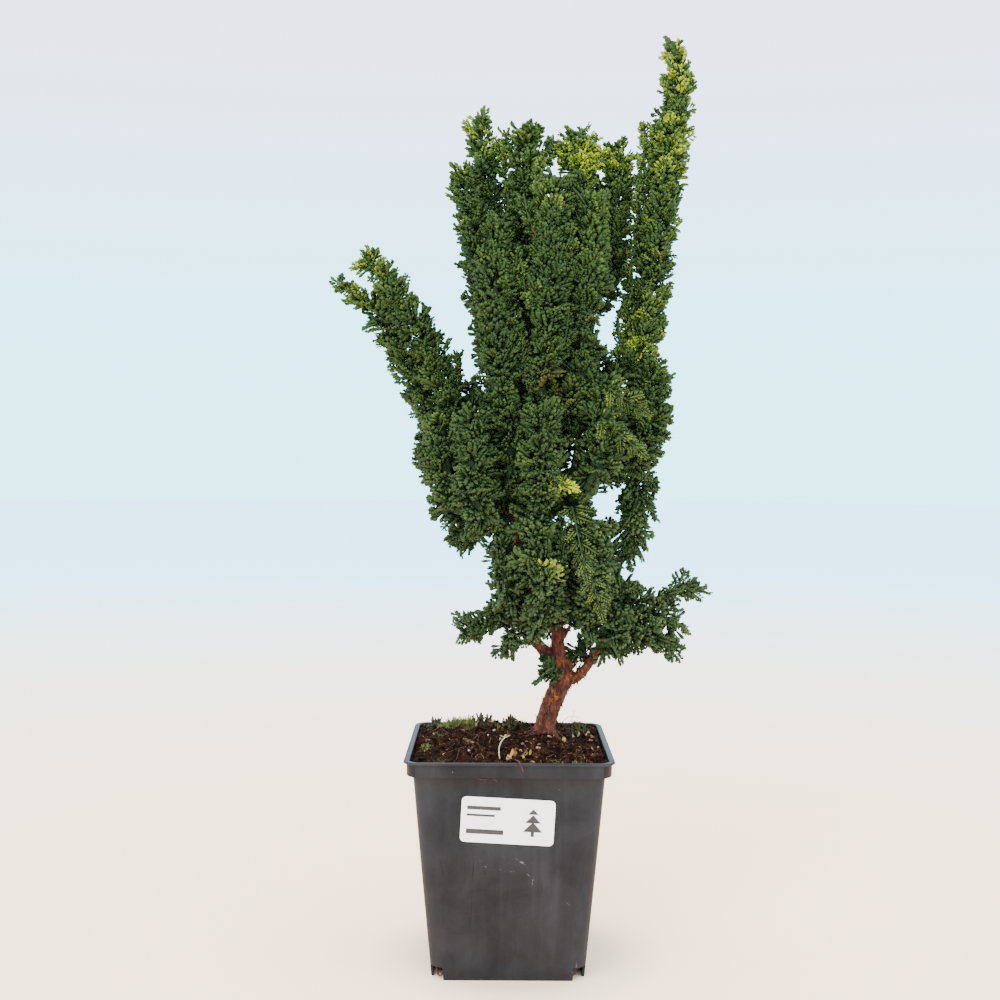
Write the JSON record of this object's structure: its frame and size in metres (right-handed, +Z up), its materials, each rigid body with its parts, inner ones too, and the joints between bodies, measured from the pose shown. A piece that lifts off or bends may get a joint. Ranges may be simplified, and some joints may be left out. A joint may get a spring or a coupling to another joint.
{
  "type": "hinoki cypress bonsai",
  "caption": "Young hinoki cypress bonsai with dense upright plumes, a leaning red-barked trunk and side branches, in a square tapered plastic nursery pot.",
  "frame": {"origin": "on the table, under the middle of the whole object's width and depth; the middle of the pot is 6.6 mm to its left", "axes": "+Z up, the tree's height; -Y is the front, where the pot's label is; +X is the viewer's right"},
  "size_m": [0.2195, 0.1136, 0.5254],
  "materials": {
    "pot_plastic": "satin",
    "peat": "matte",
    "label_paper": "satin",
    "bark": "matte",
    "foliage": "matte"
  },
  "bodies": {
    "root": {"pot": "pot_plastic", "soil": "peat", "label": "label_paper", "trunk": "bark", "arm_upper": "foliage", "arm_lower": "foliage", "leader_right": "foliage", "leader_left": "foliage", "leader_shoulder": "foliage", "crown_heart": "foliage", "leader_middle": "foliage", "leader_yellow": "foliage", "leader_inner": "foliage", "plume_front": "foliage", "plume_front_left": "foliage", "plume_front_right": "foliage", "plume_back": "foliage", "plume_back_right": "foliage", "plume_back_left": "foliage", "mid_front": "foliage", "mid_heart": "foliage", "mid_front_left": "foliage", "mid_front_right": "foliage", "mid_right": "foliage", "mid_right_front": "foliage", "mid_back_right": "foliage", "mid_back": "foliage", "mid_back_left": "foliage", "mid_left_front": "foliage", "mid_left": "foliage", "mid_left_back": "foliage", "mid_left_upper": "foliage", "hanging_right": "foliage", "hanging_left": "foliage", "skirt_front": "foliage", "skirt_right": "foliage", "skirt_back": "foliage", "low_front": "foliage", "low_front_right": "foliage", "low_front_left": "foliage", "low_left": "foliage", "low_back": "foliage", "low_back_right": "foliage", "low_back_left": "foliage", "right_upright": "foliage", "right_front": "foliage", "right_back": "foliage", "spray_behind_limb": "foliage", "lowest_left_back": "foliage", "lowest_left": "foliage", "drooping_left": "foliage", "branch_right_long": "foliage", "branch_right_middle": "foliage", "branch_right_low": "foliage", "trunk_spray": "foliage"}
  },
  "joints": []
}
